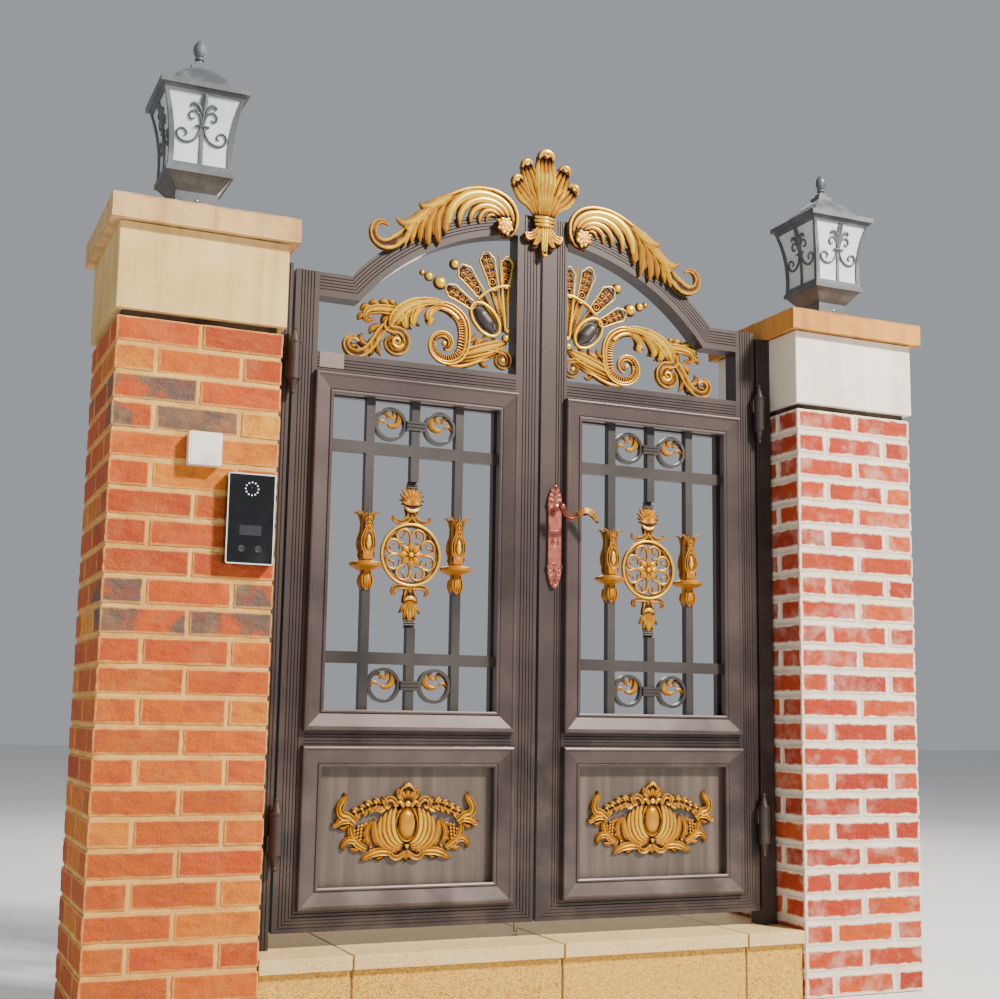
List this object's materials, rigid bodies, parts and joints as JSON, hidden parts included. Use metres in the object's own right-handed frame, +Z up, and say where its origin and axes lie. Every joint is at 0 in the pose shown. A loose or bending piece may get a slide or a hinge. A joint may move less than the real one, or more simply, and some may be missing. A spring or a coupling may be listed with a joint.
{
  "type": "aluminium double gate with brick piers",
  "caption": "Arched double gate of reeded aluminium leaves with gilt cast ornament, hung between brick piers with lanterns, over a stone step.",
  "frame": {"origin": "on the ground at the middle of the whole gateway's base, centred between the piers and in their depth", "axes": "+Z up; the decorated front faces -Y; +X to the viewer's right"},
  "size_m": [2.608, 0.508, 2.7187],
  "materials": {
    "powder_coat": "satin dark bronze powder coat",
    "grey_coat": "satin grey powder coat on the grille bars",
    "gilt": "antique gold paint with brown worked into the recesses",
    "rose_bronze": "reddish rose bronze plating, slightly worn",
    "steel_rod": "plain bright steel",
    "brick": "orange-red fired brick in pale mortar",
    "band_stone": "smooth pale limestone, weather-stained",
    "cap_stone": "sandy stone with worn edges",
    "coping_stone": "honed yellow-beige speckled stone",
    "step_masonry": "yellow-beige stone facing",
    "lantern_grey": "mid-grey paint, dusty",
    "frosted_glass": "frosted white glass",
    "black_glass": "black glass front in a silver rim",
    "white_plastic": "white moulded plastic"
  },
  "bodies": {
    "surround": {"left_pier": "brick", "left_stone_band": "band_stone", "left_pier_cap": "cap_stone", "left_lantern_frame": "lantern_grey", "left_lantern_glass": "frosted_glass", "left_lantern_roof": "lantern_grey", "left_post": "powder_coat", "left_fixed_hinges": "powder_coat", "right_pier": "brick", "right_stone_band": "band_stone", "right_pier_cap": "cap_stone", "right_lantern_frame": "lantern_grey", "right_lantern_glass": "frosted_glass", "right_lantern_roof": "lantern_grey", "right_post": "powder_coat", "right_fixed_hinges": "powder_coat", "threshold": "coping_stone", "step_riser": "step_masonry", "intercom": "black_glass", "wall_box": "white_plastic"},
    "right_leaf": {"right_stiles": "powder_coat", "right_rails": "powder_coat", "right_arched_rail": "powder_coat", "right_upper_moulding": "powder_coat", "right_lower_moulding": "powder_coat", "right_panel": "powder_coat", "right_grille": "grey_coat", "right_medallion": "gilt", "right_fanlight_ornament": "gilt", "right_crest_scroll": "gilt", "right_cartouche": "gilt", "right_leaf_hinges": "powder_coat", "finial": "gilt", "lock_plate": "rose_bronze"},
    "left_leaf": {"left_stiles": "powder_coat", "left_rails": "powder_coat", "left_arched_rail": "powder_coat", "left_upper_moulding": "powder_coat", "left_lower_moulding": "powder_coat", "left_panel": "powder_coat", "left_grille": "grey_coat", "left_medallion": "gilt", "left_fanlight_ornament": "gilt", "left_crest_scroll": "gilt", "left_cartouche": "gilt", "left_leaf_hinges": "powder_coat", "bolt_guides": "powder_coat"},
    "lever": {"lever_handle": "rose_bronze"},
    "bolt": {"drop_bolt": "steel_rod"}
  },
  "joints": [
    {"name": "right_leaf_swing", "type": "hinge", "parent": "surround", "child": "right_leaf", "pos_m": [0.768, -0.101, 1.142], "axis": [0, 0, 1], "range_deg": [0, 90]},
    {"name": "left_leaf_swing", "type": "hinge", "parent": "surround", "child": "left_leaf", "pos_m": [-0.768, -0.101, 1.142], "axis": [0, 0, 1], "range_deg": [-90, 0]},
    {"name": "lever_turn", "type": "hinge", "parent": "right_leaf", "child": "lever", "pos_m": [0.05, -0.101, 1.432], "axis": [0, 1, 0], "range_deg": [0, 45], "stiffness_Nm_per_rad": 1.2, "springref_deg": -34.38},
    {"name": "bolt_lift", "type": "slide", "parent": "left_leaf", "child": "bolt", "axis": [0, 0, 1], "range_m": [0, 0.045]}
  ],
  "couplings": [
    {"joint": "left_leaf_swing", "follows": "right_leaf_swing", "ratio": -1}
  ]
}
